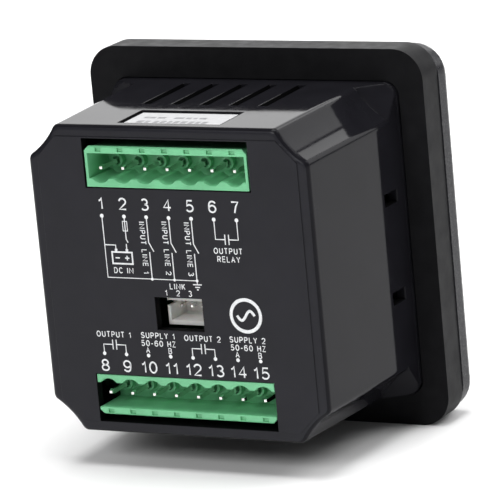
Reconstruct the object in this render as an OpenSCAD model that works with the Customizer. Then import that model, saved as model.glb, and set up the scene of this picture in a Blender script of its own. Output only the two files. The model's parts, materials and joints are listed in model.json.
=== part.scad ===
// Automatic transfer switch controller for a generator panel.
// X is to the right as seen from the front, +Y is towards the back, +Z is up.
// The origin is the centre of the panel cut-out, in the plane where the gasket meets the panel.

/* [Case] */
// Width and height of the square case at the panel
case_w = 66; // [64:0.2:80]
// Depth of the case behind the panel
case_depth = 39.8; // [33:0.2:50]
// Wall thickness of the case
case_wall = 2; // [1.6:0.1:2.5]
// How much each side wall leans in over the whole depth
side_draft = 1.2; // [0.4:0.1:1.6]
// How much the top and bottom walls lean in over the whole depth
top_draft = 0.8; // [0.4:0.1:1.6]
// Length of a corner cut along each wall
corner_cut = 6.8; // [5:0.1:8]
// Radius of the hollow face of a corner cut
hollow_r = 18; // [14:1:30]
// Rounding where a corner cut meets a wall
corner_blend = 1.6; // [0.8:0.1:2]
// Rounding of the rear edge
rear_round = 1; // [0.6:0.1:1.4]
// Where the corner cuts flare out to full corners, behind the panel
flare_y = 5.2; // [4.6:0.1:6]
// Radius of the full corners
collar_r = 3; // [1:0.5:4]
// Margin round the raised field on the back
field_margin = 2.3; // [1.8:0.1:3]
// Height of the raised field on the back
field_h = 0.2; // [0.1:0.05:0.4]

/* [Vents and recesses] */
// Number of vent slots in the top
vent_n = 5; // [3:1:7]
// Spacing of the vent slots
vent_pitch = 6.7; // [5:0.1:8]
// Width of a vent slot
vent_w = 1.8; // [1.2:0.1:2.4]
// Where the vent slots start behind the panel
vent_y = 4; // [3.8:0.1:6]
// Length of a vent slot
vent_len = 17.5; // [12:0.5:18]
// Height of a clip slot in the side wall
clip_slot_h = 2.6; // [2:0.1:3.2]
// Length of a clip slot, front to back
clip_slot_len = 5.3; // [4:0.1:6.5]
// Where the clip slots start behind the panel
clip_slot_y = 4; // [3.8:0.1:5]
// Height of the clip slots above and below the middle
clip_slot_z = 10.3; // [8:0.1:14]
// Width of the sticker on top
label_w = 22; // [16:0.5:24]
// Length of the sticker, front to back
label_len = 9; // [6:0.5:9.5]
// Thickness of the sticker
label_t = 0.15; // [0.1:0.01:0.25]
// Depth of the recess for the sticker
label_recess = 0.5; // [0.3:0.05:0.6]
// Gap between the sticker and the edge of its recess
label_gap = 0.6; // [0.3:0.1:1]
// Distance from the back of the case to the middle of the sticker
label_from_back = 8; // [7:0.1:9]

/* [Front] */
// How far the flange stands out past the case
flange_lip = 4; // [3.5:0.1:5]
// Thickness of the flange
flange_t = 1.6; // [1.2:0.1:2]
// Thickness of the gasket
gasket_t = 7; // [5:0.1:9]
// How far the gasket stands out past the case at each side
gasket_side = 5.8; // [4:0.1:7]
// How far the gasket stands out past the case above and below
gasket_top = 6.8; // [4:0.1:8]
// How far the bezel stands out past the flange
bezel_lip = 2; // [1.4:0.1:3]
// Thickness of the bezel, front to back
bezel_t = 5; // [4.8:0.1:7]
// Outer corner radius of the bezel and the gasket
bezel_r = 6.5; // [5:0.1:8]
// Rounding of the front edge of the bezel
bezel_round = 2; // [1:0.1:2.4]
// Thickness of the front plate of the bezel
plate_t = 2.2; // [1.8:0.1:2.4]
// Width of the frame round the face film
film_margin = 4; // [3:0.1:6]
// Thickness of the face film
film_t = 0.5; // [0.3:0.05:0.7]

/* [Display, lamps and keys] */
// Width of the display window
window_w = 42; // [38:0.5:46]
// Height of the display window
window_h = 20; // [18:0.5:22]
// Height of the middle of the window above the centre
window_z = 15; // [14:0.1:16]
// Size of the digits' housing, width
digits_w = 37.6; // [30:0.2:40]
// Size of the digits' housing, height
digits_h = 19; // [16:0.2:20]
// Number of digits
digit_n = 3; // [2:1:4]
// Diameter of an indicator lamp
lamp_d = 3; // [2:0.1:4]
// Number of indicator lamps
lamp_n = 5; // [3:1:5]
// Spacing of the lamps
lamp_pitch = 12; // [10:0.1:12.5]
// Height of the lamp row above the centre
lamp_z = -3; // [-5:0.1:-2]
// Width of a key cap
key_w = 11; // [8:0.1:12]
// Height of a key cap
key_h = 7; // [5:0.1:8]
// Spacing of the keys
key_pitch = 15; // [14:0.1:16]
// Height of the key row above the centre
key_z = -21.5; // [-23:0.1:-20]
// How far the keys stand out past the face
key_proud = 0.8; // [0.4:0.1:1.2]
// Travel of a key
key_travel = 0.6; // [0.3:0.1:0.8]

/* [Terminals] */
// Spacing of the terminals
pole_pitch = 5.08; // [5:0.01:6.1]
// Size of a square terminal pin
pin_size = 1; // [0.8:0.05:1.1]
// Depth of a header, board to rim
header_depth = 12; // [10.5:0.1:13]
// Depth of the plug space in a header
plug_depth = 8.5; // [7:0.1:9]
// Height of a header's rim on the straight side of its pins
header_outer = 4.6; // [4:0.05:5]
// Height of a header on the scalloped side of its pins
header_inner = 3.85; // [3.6:0.05:4.2]
// Number of terminals in the upper header
upper_n = 7; // [3:1:8]
// Number of terminals in the lower header
lower_n = 8; // [3:1:8]
// Distance of the upper pin row from the top edge of the back
upper_inset = 8.8; // [8:0.1:10]
// Distance of the lower pin row from the bottom edge of the back
lower_inset = 8.5; // [7.6:0.1:10]
// Sideways place of the lower header
lower_x = 0.4; // [-1:0.1:1]
// Spacing of the pins in the small socket
comm_pitch = 2.5; // [2.3:0.01:2.6]
// Number of pins in the small socket
comm_n = 3; // [2:1:5]
// Depth of the small socket, board to rim
comm_depth = 8; // [6.5:0.1:9]
// Height of the small socket's pins above the centre
comm_z = -6.1; // [-8:0.1:-4]

/* [Boards] */
// Thickness of a circuit board
board_t = 1.6; // [1:0.1:2]
// Gap between a board's edge and the case
board_gap = 1; // [0.7:0.1:1.5]
// Distance from the front plate to the display board
display_gap = 7.2; // [7:0.1:9]
// Width of a relay
relay_w = 15.4; // [12:0.1:15.8]
// Length of a relay
relay_len = 19; // [16:0.1:19.2]
// Height of a relay above its board
relay_h = 15.3; // [10:0.1:16]
// Diameter of the large capacitor
big_cap_d = 10; // [8:0.1:11]
// Height of the large capacitor
big_cap_h = 16; // [10:0.5:18]
// Diameter of the small capacitor
small_cap_d = 8; // [5:0.1:8.4]
// Height of the small capacitor
small_cap_h = 12; // [8:0.5:16]

/* [Hidden] */
$fn = 48;
eps = 0.01;

// Clearances
fit = 0.2;
pin_fit = 0.02;
screw_fit = 0.05;

// Levels along Y, from the front to the back
bezel_front = -gasket_t - bezel_t;
flange_front = -gasket_t - flange_t;
plate_back = bezel_front + plate_t;
display_front = plate_back + display_gap;
display_back = display_front + board_t;
rim_sink = 0.1;
header_rim = case_depth - rim_sink;
power_back = header_rim - header_depth;
power_front = power_back - board_t;
rear_inside = case_depth - case_wall;
field_y = case_depth - field_h;

// Outline of the case
case_half = case_w / 2;
back_half_h = case_half - top_draft;
field_cut = 4.4;
chord_half = corner_cut / sqrt(2);
cut_distance = (case_w - corner_cut) / sqrt(2);
hollow_centre = cut_distance + sqrt(hollow_r * hollow_r - chord_half * chord_half);
hollow_middle = hollow_centre - hollow_r;
collar_len = 0.8;
flare_inset = 0.03;
flare_step = 0.05;
inner_half = case_half - case_wall;
top_lean = atan(top_draft / case_depth);

function half_x(y) = case_half - side_draft * y / case_depth;
function half_z(y) = case_half - top_draft * y / case_depth;

// Front pieces
flange_w = case_w + 2 * flange_lip;
flange_r = bezel_r - 0.7;
flange_fit = 0.1;
bezel_w = flange_w + 2 * bezel_lip;
cavity_w = bezel_w - 2 * film_margin;
bezel_cavity_r = 10;
film_r = 3;
gasket_gap = 0.2;
lens_lip = 1.6;
lens_lip_t = 0.8;
key_r = 1.8;
key_lip = 1;
key_lip_t = 0.8;
key_seat = 0.1;
key_stem_d = 4;
switch_w = 6;
switch_h = 3.5;
plunger_d = 3.4;
plunger_front = display_front - switch_h - 1.5;
plunger_back = display_front - switch_h + 0.9;
plunger_room = 0.4;
lamp_base_d = lamp_d + 0.8;
lamp_proud = 0.3;
digits_front = plate_back + lens_lip_t + fit;

// Boards, from the inside of the case
display_board_w = 2 * (inner_half - board_gap);
power_board_w = 2 * (half_x(rear_inside) - case_wall - board_gap + 0.65);
power_board_h = 2 * (half_z(rear_inside) - case_wall - board_gap + 0.3);
board_cut = 7;
display_screw_x = display_board_w / 2 - 3;
display_screw_high = 20;
display_screw_low = -11;
power_screw_x = power_board_w / 2 - 3;
power_screw_z = 14;
case_screw_at = flange_w / 2 - 3.5;

// Screws
screw_d = 2;
board_screw_d = 2.4;
boss_d = 5;

// Terminals
rim_wall = 1.5;
rim_lip = 0.8;
rim_lip_len = 1.4;
rim_edge = 0.35;
rim_end_cut = 1.4;
pocket_w = 1.3;
pocket_h = 0.8;
pocket_depth = 0.45;
scallop_wall = 1.7;
scallop_thin = 0.8;
scallop_r = 2.45;
closed_end = 0.6;
end_margin = 0.65;
upper_z = back_half_h - upper_inset;
lower_z = lower_inset - back_half_h;
upper_len = upper_n * pole_pitch + 2 * end_margin;
lower_len = lower_n * pole_pitch;
opening_gap = 0.2;
opening_outer = 1.6;
pin_tip_sink = 0.5;
tail_len = 1.8;
collar_d = 2.8;
collar_bore = 1.8;
collar_h = 1.5;
collar_sink = 0.9;
comm_w = comm_n * comm_pitch + 2.4;
comm_end_wall = 0.75;
comm_high = 2.1;
comm_high_wall = 0.65;
comm_low = 3.65;
comm_low_wall = 0.95;
comm_floor = 1.5;
comm_slot_h = 1.05;
comm_slot_depth = 3;
comm_pin_size = 0.64;
comm_pin_sink = 1.2;
comm_opening_side = 0.45;
comm_opening_high = 3.15;
comm_opening_low = 3.7;

// Link between the boards
link_n = 6;
link_pitch = 2.54;
link_socket_h = 8.5;
link_base_h = 2.5;
link_pin_size = 0.64;
link_grip = 5;
link_z = lower_z + 8.7;

// Power parts
relay_low_z = lower_z + 2.7 + relay_len / 2;
relay_high_z = upper_z - 2.7 - relay_len / 2;
relay_side_x = 16;
relay_pin_d = 1;
hole_gap = 0.3;
cap_lead_d = 0.8;
cap_x = -15;
big_cap_z = upper_z - 4.2 - big_cap_d / 2;
small_cap_z = big_cap_z - big_cap_d / 2 - 1.5 - small_cap_d / 2;
choke_x = 15.5;
choke_d = 10;
choke_h = 9;
choke_z = upper_z - 4.2 - choke_d / 2;
opto_w = 4.6;
opto_len = 6.4;
opto_h = 3.4;
opto_x = 10.8;
opto_pitch = 5.2;
opto_n = 3;
opto_z = 3.3;
disc_d = 8;
disc_t = 3.6;
disc_x = -23;
disc_z = 3.5;
chip_z = big_cap_z - 4;

// Places of what repeats
function row(n, pitch, x0) = [for (i = [0:n - 1]) x0 + (i - (n - 1) / 2) * pitch];
upper_xs = row(upper_n, pole_pitch, 0);
lower_xs = row(lower_n, pole_pitch, lower_x);
comm_xs = row(comm_n, comm_pitch, 0);
lamp_xs = row(lamp_n, lamp_pitch, 0);
key_xs = row(4, key_pitch, 0);
opto_xs = [for (i = [0:opto_n - 1]) opto_x + i * opto_pitch];
link_xs = row(link_n, link_pitch, 0);
link_zs = row(2, link_pitch, link_z);
corners = [for (sx = [-1, 1]) for (sz = [-1, 1]) [sx, sz]];
display_screws_at = [
    for (sx = [-1, 1]) for (z = [display_screw_low, display_screw_high]) [sx * display_screw_x, z]
];
power_screws_at = [for (c = corners) [c[0] * power_screw_x, c[1] * power_screw_z]];
case_screws_at = [for (c = corners) [c[0] * case_screw_at, c[1] * case_screw_at]];
relay_pins = [[-6, -7.4], [6, -7.4], [0, -7.4], [-6, 6.5], [6, 6.5]];
relay_places = [[-relay_side_x, relay_low_z], [0, relay_high_z], [relay_side_x, relay_low_z]];

// Shapes that several pieces use

// Outline in X and Z, extruded from y0 to y1
module slab(y0, y1) {
    translate([0, y1, 0]) rotate([90, 0, 0]) linear_extrude(y1 - y0) children();
}

// Outline in X and Z, extruded from y0 to y1 and scaled on the way
module taper(y0, y1, s) {
    translate([0, y0, 0]) rotate([-90, 0, 0]) linear_extrude(y1 - y0, scale = s, slices = 1, segments = 1) {
        mirror([0, 1]) children();
    }
}

// Cylinder along Y
module rod(d, y0, y1, x = 0, z = 0) {
    translate([x, y1, z]) rotate([90, 0, 0]) cylinder(h = y1 - y0, d = d);
}

// Box along Y, centred on x and z
module bar(w, h, y0, y1, x = 0, z = 0) {
    translate([x - w / 2, y0, z - h / 2]) cube([w, y1 - y0, h]);
}

// Rectangle with round corners
module round_rect(w, h, r) {
    square([w - 2 * r, h], center = true);
    square([w, h - 2 * r], center = true);
    for (c = corners) translate([c[0] * (w / 2 - r), c[1] * (h / 2 - r)]) circle(r);
}

// Plate with round corners and a rounded front edge, from y0 back to y1
module soft_plate(w, h, r, edge, y0, y1) {
    arc = [for (a = [90:-22.5:0]) [r - edge + edge * cos(a), y1 - y0 - edge + edge * sin(a)]];
    hull() for (c = corners) translate([c[0] * (w / 2 - r), y1, c[1] * (h / 2 - r)]) {
        rotate([90, 0, 0]) rotate_extrude($fn = 32) polygon(concat([[0, 0]], [[0, y1 - y0]], arc, [[r, 0]]));
    }
}

// Rectangle with its corners cut at 45 degrees
module cut_rect(w, h, cut) {
    polygon([
        for (i = [0:3])
            for (k = [0, 1])
                let (sx = (i == 0 || i == 3) ? 1 : -1)
                let (sz = i < 2 ? 1 : -1)
                let (along_x = (i % 2 == 0) ? k : 1 - k)
                [sx * (w / 2 - along_x * cut), sz * (h / 2 - (1 - along_x) * cut)]
    ]);
}

// Square pin along Y with a pointed tip at its rear end
module square_pin(size, y0, y1, x, z, point = 0.8, tip = 0.6) {
    bar(size, size, y0, y1 - point, x, z);
    translate([x, y1 - point, z]) rotate([-90, 0, 0]) linear_extrude(point, scale = tip) {
        square(size, center = true);
    }
}

// Pan-head screw along Y: its head looks towards +Y or -Y
module screw(d, head_d, head_h, len, y, x, z, way) {
    translate([x, y, z]) rotate([-way * 90, 0, 0]) {
        difference() {
            rotate_extrude() polygon([
                [0, -len],
                [d / 2 - 0.3, -len],
                [d / 2, -len + 0.6],
                [d / 2, 0],
                [head_d / 2, 0],
                [head_d / 2, head_h * 0.45],
                [head_d * 0.42, head_h * 0.8],
                [head_d * 0.26, head_h],
                [0, head_h]
            ]);
            for (a = [0, 90]) rotate(a) translate([0, 0, head_h - 0.35]) {
                cube([head_d * 0.55, head_d * 0.13, 0.72], center = true);
            }
        }
    }
}

// Case

// Section of the case at the panel, with hollow corner cuts
module case_section() {
    offset(r = corner_blend, $fn = 32) offset(delta = -corner_blend) difference() {
        square(case_w, center = true);
        for (a = [45:90:315]) rotate(a) translate([hollow_centre, 0]) circle(hollow_r, $fn = 72);
    }
}

// Scaled slice of the case between two depths, inset by the rear rounding
module case_slice(y0, y1, in0, in1) {
    a0 = (half_x(y0) - in0) / case_half;
    b0 = (half_z(y0) - in0) / case_half;
    a1 = (half_x(y1) - in1) / case_half;
    b1 = (half_z(y1) - in1) / case_half;
    taper(y0, y1, [a1 / a0, b1 / b0]) scale([a0, b0]) case_section();
}

module case_outside() {
    steps = 3;
    edge_y = field_y - rear_round;
    case_slice(0, edge_y, 0, 0);
    for (i = [0:steps - 1]) {
        a = 90 * i / steps;
        b = 90 * (i + 1) / steps;
        case_slice(
            edge_y + rear_round * sin(a), edge_y + rear_round * sin(b),
            rear_round * (1 - cos(a)), rear_round * (1 - cos(b))
        );
    }
    slab(field_y - eps, case_depth) raised_field();
    slab(-gasket_t - eps, collar_len) round_rect(case_w, case_w, collar_r);
    corner_flare();
    slab(flange_front, -gasket_t) round_rect(flange_w, flange_w, flange_r);
}

// Where each hollow corner cut runs out in a cone, just behind the collar
module corner_flare() {
    w0 = case_w - 2 * flare_inset;
    scale_x = (half_x(flare_y) - flare_inset) / (w0 / 2);
    scale_z = (half_z(flare_y) - flare_inset) / (w0 / 2);
    rear_r = hollow_r + flare_step;
    difference() {
        taper(0, flare_y, [scale_x, scale_z]) round_rect(w0, w0, collar_r);
        for (sx = [-1, 1]) for (sz = [-1, 1]) {
            translate([sx * hollow_centre / sqrt(2), 0, sz * hollow_centre / sqrt(2)]) rotate([-90, 0, 0]) {
                cylinder(h = flare_y + 0.5, r1 = rear_r - flare_y, r2 = rear_r + 0.5, $fn = 72);
            }
        }
    }
}

module raised_field() {
    w = 2 * (half_x(case_depth) - field_margin);
    h = 2 * (half_z(case_depth) - field_margin);
    cut_rect(w, h, field_cut);
}

// Inside of the case: one taper that runs out through the flange
module case_cavity() {
    front = flange_front - 1;
    front_x = half_x(front) - case_wall;
    front_z = half_z(front) - case_wall;
    rear_x = half_x(rear_inside) - case_wall;
    rear_z = half_z(rear_inside) - case_wall;
    taper(front, rear_inside, [rear_x / front_x, rear_z / front_z]) {
        cut_rect(2 * front_x, 2 * front_z, front_x + front_z - sqrt(2) * (hollow_middle - case_wall));
    }
}

module header_opening(len, x, z, side) {
    low = header_inner + opening_gap;
    high = header_outer + opening_outer;
    translate([x - len / 2 - opening_gap, rear_inside - 1, side > 0 ? z - low : z - high]) {
        cube([len + 2 * opening_gap, case_wall + 2, low + high]);
    }
}

module comm_opening() {
    w = comm_w + 2 * comm_opening_side;
    translate([-w / 2, rear_inside - 1, comm_z - comm_opening_low]) {
        cube([w, case_wall + 2, comm_opening_low + comm_opening_high]);
    }
}

module on_top() {
    translate([0, 0, case_half]) rotate([-top_lean, 0, 0]) children();
}

module rear_case() {
    label_y = case_depth - label_from_back;
    recess_w = label_w + 2 * label_gap;
    recess_len = label_len + 2 * label_gap;
    color("#1b1c1e") difference() {
        union() {
            difference() {
                case_outside();
                case_cavity();
            }
            for (p = power_screws_at) rod(boss_d, power_back, rear_inside + case_wall / 2, p[0], p[1]);
        }
        for (p = power_screws_at) rod(board_screw_d + screw_fit, power_back - 1, rear_inside - 1, p[0], p[1]);
        for (p = case_screws_at) rod(screw_d + fit, flange_front - 1, -gasket_t + 1, p[0], p[1]);
        header_opening(upper_len + 2 * opening_gap, 0, upper_z, 1);
        header_opening(lower_len, lower_x, lower_z, -1);
        comm_opening();
        for (x = row(vent_n, vent_pitch, 0)) {
            translate([x - vent_w / 2, vent_y, inner_half - 3]) cube([vent_w, vent_len, case_wall + 6]);
        }
        for (sx = [-1, 1]) for (sz = [-1, 1]) {
            translate([sx * case_half, clip_slot_y + clip_slot_len / 2, sz * clip_slot_z]) {
                cube([3 * case_wall + 2, clip_slot_len, clip_slot_h], center = true);
            }
        }
        on_top() translate([-recess_w / 2, label_y - recess_len / 2, -label_recess]) {
            cube([recess_w, recess_len, 2]);
        }
    }
}

module rating_label() {
    label_y = case_depth - label_from_back;
    color("#e9e9e4") on_top() {
        translate([-label_w / 2, label_y - label_len / 2, -label_recess]) cube([label_w, label_len, label_t]);
    }
}

module panel_gasket() {
    opening = case_w + 2 * gasket_gap;
    pocket = 1.6;
    color("#222324") difference() {
        slab(-gasket_t, 0) difference() {
            round_rect(case_w + 2 * gasket_side, case_w + 2 * gasket_top, bezel_r);
            round_rect(opening, opening, collar_r + gasket_gap);
        }
        for (p = case_screws_at) rod(4.2, -gasket_t - 1, -gasket_t + pocket, p[0], p[1]);
    }
}

// Bezel and face

module key_holes(y0, y1) {
    for (x = key_xs) translate([x, 0, key_z]) {
        slab(y0, y1) round_rect(key_w + 2 * fit, key_h + 2 * fit, key_r + fit);
    }
}

module window_hole(y0, y1) {
    translate([0, 0, window_z]) slab(y0, y1) round_rect(window_w, window_h, 1);
}

module front_bezel() {
    recess_w = flange_w + 2 * flange_fit;
    color("#26272a") difference() {
        union() {
            difference() {
                soft_plate(bezel_w, bezel_w, bezel_r, bezel_round, bezel_front, -gasket_t);
                slab(plate_back, -gasket_t + 1) round_rect(cavity_w, cavity_w, bezel_cavity_r);
                slab(flange_front, -gasket_t + 1) round_rect(recess_w, recess_w, flange_r + flange_fit);
                slab(bezel_front - 1, bezel_front + film_t) round_rect(cavity_w, cavity_w, film_r);
            }
            for (p = display_screws_at) rod(boss_d, plate_back - plate_t / 2, display_front, p[0], p[1]);
        }
        window_hole(bezel_front - 1, plate_back + 1);
        key_holes(bezel_front - 1, plate_back + 1);
        for (x = lamp_xs) rod(lamp_d + fit, bezel_front - 1, plate_back + 1, x, lamp_z);
        for (p = display_screws_at) rod(screw_d + screw_fit, plate_back, display_front + 1, p[0], p[1]);
        for (p = case_screws_at) rod(screw_d + screw_fit, flange_front - 2.4, flange_front + 1, p[0], p[1]);
    }
}

module front_overlay() {
    w = cavity_w - 2 * fit;
    color("#3c4350") difference() {
        slab(bezel_front, bezel_front + film_t) round_rect(w, w, film_r - fit);
        window_hole(bezel_front - 1, plate_back);
        key_holes(bezel_front - 1, plate_back);
        for (x = lamp_xs) rod(lamp_d + 2 * fit, bezel_front - 1, plate_back, x, lamp_z);
    }
}

module display_lens() {
    color("#14060a") translate([0, 0, window_z]) {
        slab(bezel_front, plate_back + eps) round_rect(window_w - fit, window_h - fit, 0.9);
        slab(plate_back, plate_back + lens_lip_t) {
            square([window_w + 2 * lens_lip, window_h + 2 * lens_lip], center = true);
        }
    }
}

// Seven flat segments of one digit, as cutters in X and Z
module digit_segments(w, h, t) {
    gap = 0.12;
    for (z = [-h / 2, 0, h / 2]) translate([0, z]) segment(w - t - 2 * gap, t);
    for (x = [-1, 1]) for (z = [-1, 1]) {
        translate([x * w / 2, z * h / 4]) rotate(90) segment(h / 2 - t - 2 * gap, t);
    }
}

module segment(len, t) {
    polygon([
        [-len / 2 - t / 2, 0],
        [-len / 2, -t / 2],
        [len / 2, -t / 2],
        [len / 2 + t / 2, 0],
        [len / 2, t / 2],
        [-len / 2, t / 2]
    ]);
}

module digit_display() {
    recess = 0.2;
    digit_w = 6.6;
    digit_h = 12.6;
    stroke = 1.5;
    digit_pitch = 11.6;
    color("#2c2e31") translate([0, 0, window_z]) difference() {
        slab(digits_front, display_front) round_rect(digits_w, digits_h, 0.6);
        for (x = row(digit_n, digit_pitch, 0)) {
            translate([x, 0, 0]) slab(digits_front - 1, digits_front + recess) {
                digit_segments(digit_w, digit_h, stroke);
            }
            rod(1.5, digits_front - 1, digits_front + recess, x + digit_w / 2 + 1.9, -digit_h / 2);
        }
    }
}

module indicator_lamp(i) {
    dome = lamp_d / 2;
    shoulder = display_front - bezel_front + lamp_proud - dome;
    color(["#c8302c", "#2f9a48", "#2f9a48", "#c8302c", "#d8a028"][i % 5]) {
        translate([lamp_xs[i], display_front, lamp_z]) rotate([90, 0, 0]) {
            cylinder(h = 1, d = lamp_base_d);
            cylinder(h = shoulder, d = lamp_d);
            intersection() {
                translate([0, 0, shoulder]) sphere(d = lamp_d);
                translate([0, 0, shoulder - eps]) cylinder(h = lamp_d, d = lamp_d + 1);
            }
        }
    }
}

// Keys: the cap, its lip behind the plate and the stem that meets the switch
module key_cap(i) {
    top = bezel_front - key_proud;
    lip = plate_back + key_seat;
    edge = 0.5;
    color("#4a5058") translate([key_xs[i], 0, key_z]) {
        soft_plate(key_w, key_h, key_r, edge, top, lip + eps);
        slab(lip, lip + key_lip_t) round_rect(key_w + 2 * key_lip, key_h + 2 * key_lip, key_r + key_lip);
        rod(key_stem_d, lip + key_lip_t - eps, plunger_front);
    }
}

module switch_plunger(i) {
    color("#d9d4c6") rod(plunger_d, plunger_front, plunger_back, key_xs[i], key_z);
}

module switch_body(i) {
    front = display_front - switch_h;
    color("#191a1c") difference() {
        translate([key_xs[i], 0, key_z]) slab(front, display_front) cut_rect(switch_w, switch_w, 0.7);
        rod(plunger_d + fit, front - 1, plunger_back + key_travel + plunger_room, key_xs[i], key_z);
    }
}

// Boards

module display_board() {
    color("#2e6b45") difference() {
        slab(display_front, display_back) cut_rect(display_board_w, display_board_w, board_cut);
        for (p = display_screws_at) rod(screw_d + 2 * fit, display_front - 1, display_back + 1, p[0], p[1]);
    }
}

module microcontroller() {
    body_w = 12;
    body_h = 1.4;
    lead_n = 10;
    lead_pitch = 1;
    color("#232427") translate([0, display_back, 8]) {
        slab(0.05, body_h) cut_rect(body_w, body_w, 0.6);
        for (a = [0:90:270]) rotate([0, a, 0]) for (x = row(lead_n, lead_pitch, 0)) {
            translate([x - 0.2, 0, body_w / 2 - 0.4]) cube([0.4, 0.25, 1.5]);
        }
    }
}

module link_socket() {
    color("#1d1e20") difference() {
        bar(
            link_n * link_pitch + 0.4, 2 * link_pitch,
            display_back, display_back + link_socket_h, 0, link_z
        );
        for (x = link_xs) for (z = link_zs) {
            bar(0.9, 0.9, display_back + 2, display_back + link_socket_h + 1, x, z);
        }
    }
}

module link_header() {
    color("#1d1e20") difference() {
        bar(link_n * link_pitch, 2 * link_pitch, power_front - link_base_h, power_front, 0, link_z);
        for (x = link_xs) for (z = link_zs) {
            bar(
                link_pin_size + 2 * pin_fit, link_pin_size + 2 * pin_fit,
                power_front - link_base_h - 1, power_front + 1, x, z
            );
        }
    }
}

module link_pins() {
    tip = display_back + link_socket_h - link_grip;
    color("#c9a227") for (x = link_xs) for (z = link_zs) {
        mirror([0, 1, 0]) square_pin(link_pin_size, -power_back - 1, -tip, x, z, 0.5);
    }
}

module power_board() {
    color("#2e6b45") difference() {
        slab(power_front, power_back) cut_rect(power_board_w, power_board_h, board_cut);
        for (p = power_screws_at) {
            rod(board_screw_d + 2 * fit, power_front - 1, power_back + 1, p[0], p[1]);
        }
        board_holes(pin_size * sqrt(2) + fit, [for (x = upper_xs) [x, upper_z]]);
        board_holes(pin_size * sqrt(2) + fit, [for (x = lower_xs) [x, lower_z]]);
        board_holes(comm_pin_size * sqrt(2) + fit, [for (x = comm_xs) [x, comm_z]]);
        board_holes(link_pin_size * sqrt(2) + fit, [for (x = link_xs) for (z = link_zs) [x, z]]);
        for (r = relay_places) {
            board_holes(relay_pin_d + hole_gap, [for (p = relay_pins) [r[0] + p[0], r[1] + p[1]]]);
        }
        board_holes(cap_lead_d + hole_gap, lead_pair(cap_x, big_cap_z, 5));
        board_holes(cap_lead_d + hole_gap, lead_pair(cap_x, small_cap_z, 3.5));
        board_holes(cap_lead_d + hole_gap, lead_pair(choke_x, choke_z, 5));
        board_holes(cap_lead_d + hole_gap, [for (s = [-1, 1]) [disc_x, disc_z + s * 2.5]]);
    }
}

module board_holes(d, places) {
    for (p = places) rod(d, power_front - 1, power_back + 1, p[0], p[1]);
}

function lead_pair(x, z, pitch) = [[x - pitch / 2, z], [x + pitch / 2, z]];

// Leads that go down through the board and end just behind it
module leads(places, d) {
    for (p = places) rod(d, power_front - eps, power_back + 0.8, p[0], p[1]);
}

// Terminal headers: the straight wall looks away from the middle of the case

// Space for the plug, with a scallop for each pole
module plug_space(poles, len) {
    low = scallop_wall - header_inner;
    high = header_outer - rim_wall;
    translate([-len / 2, low]) square([len, high - low]);
    for (x = row(poles, pole_pitch, 0)) {
        translate([x, scallop_thin - header_inner + scallop_r]) circle(scallop_r);
    }
}

// Outside of a header: a straight wall with a lip round its rim on one side
module header_block(len) {
    wall = header_outer - rim_lip;
    lip_front = header_rim - rim_lip_len;
    difference() {
        translate([-len / 2, 0, 0]) rotate([90, 0, 90]) linear_extrude(len) polygon([
            [power_back, -header_inner],
            [header_rim, -header_inner],
            [header_rim, header_outer - rim_edge],
            [header_rim - rim_edge, header_outer],
            [lip_front + rim_lip, header_outer],
            [lip_front, wall],
            [power_back, wall]
        ]);
        for (s = [-1, 1]) translate([s * len / 2, header_rim, header_outer]) rotate([0, 45, 0]) {
            cube([rim_end_cut, 2 * rim_lip_len, rim_end_cut], center = true);
        }
    }
}

module header_housing(poles, len, space_len) {
    floor_y = header_rim - plug_depth;
    xs = row(poles, pole_pitch, 0);
    difference() {
        union() {
            difference() {
                header_block(len);
                slab(floor_y, header_rim + 1) plug_space(poles, space_len);
            }
            for (x = xs) rod(collar_d, floor_y - 1, floor_y + collar_h, x);
        }
        for (x = xs) {
            rod(collar_bore, floor_y + collar_h - collar_sink, floor_y + collar_h + 1, x);
            bar(pin_size + 2 * pin_fit, pin_size + 2 * pin_fit, power_back - 1, header_rim, x);
            bar(
                pocket_w, pocket_h, header_rim - pocket_depth, header_rim + 1,
                x, header_outer - rim_wall / 2
            );
        }
    }
}

module upper_header() {
    color("#3f9b3a") translate([0, 0, upper_z]) {
        header_housing(upper_n, upper_len, upper_len - 2 * closed_end);
    }
}

module lower_header() {
    color("#3f9b3a") translate([lower_x, 0, lower_z]) mirror([0, 0, 1]) {
        header_housing(lower_n, lower_len, lower_len + 2);
    }
}

module header_pins(xs, z) {
    color("#c9c9c4") for (x = xs) {
        square_pin(pin_size, power_front - tail_len, header_rim - pin_tip_sink, x, z);
    }
}

// Socket with a slot in each end wall, just below its upper wall
module comm_socket() {
    rim = power_back + comm_depth;
    top = comm_high - comm_high_wall;
    color("#e8e6df") translate([0, 0, comm_z]) difference() {
        translate([-comm_w / 2, power_back, -comm_low]) cube([comm_w, comm_depth, comm_low + comm_high]);
        translate([comm_end_wall - comm_w / 2, power_back + comm_floor, comm_low_wall - comm_low]) {
            cube([comm_w - 2 * comm_end_wall, comm_depth, comm_low - comm_low_wall + top]);
        }
        translate([-comm_w / 2 - 1, rim - comm_slot_depth, top - comm_slot_h]) {
            cube([comm_w + 2, comm_slot_depth + 1, comm_slot_h]);
        }
        for (x = comm_xs) {
            bar(
                comm_pin_size + 2 * pin_fit, comm_pin_size + 2 * pin_fit,
                power_back - 1, power_back + comm_floor + 1, x
            );
        }
    }
}

module comm_socket_pins() {
    tip = power_back + comm_depth - comm_pin_sink;
    color("#c9c9c4") for (x = comm_xs) {
        square_pin(comm_pin_size, power_front, tip, x, comm_z, 0.3, 0.75);
    }
}

// Power parts

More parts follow.
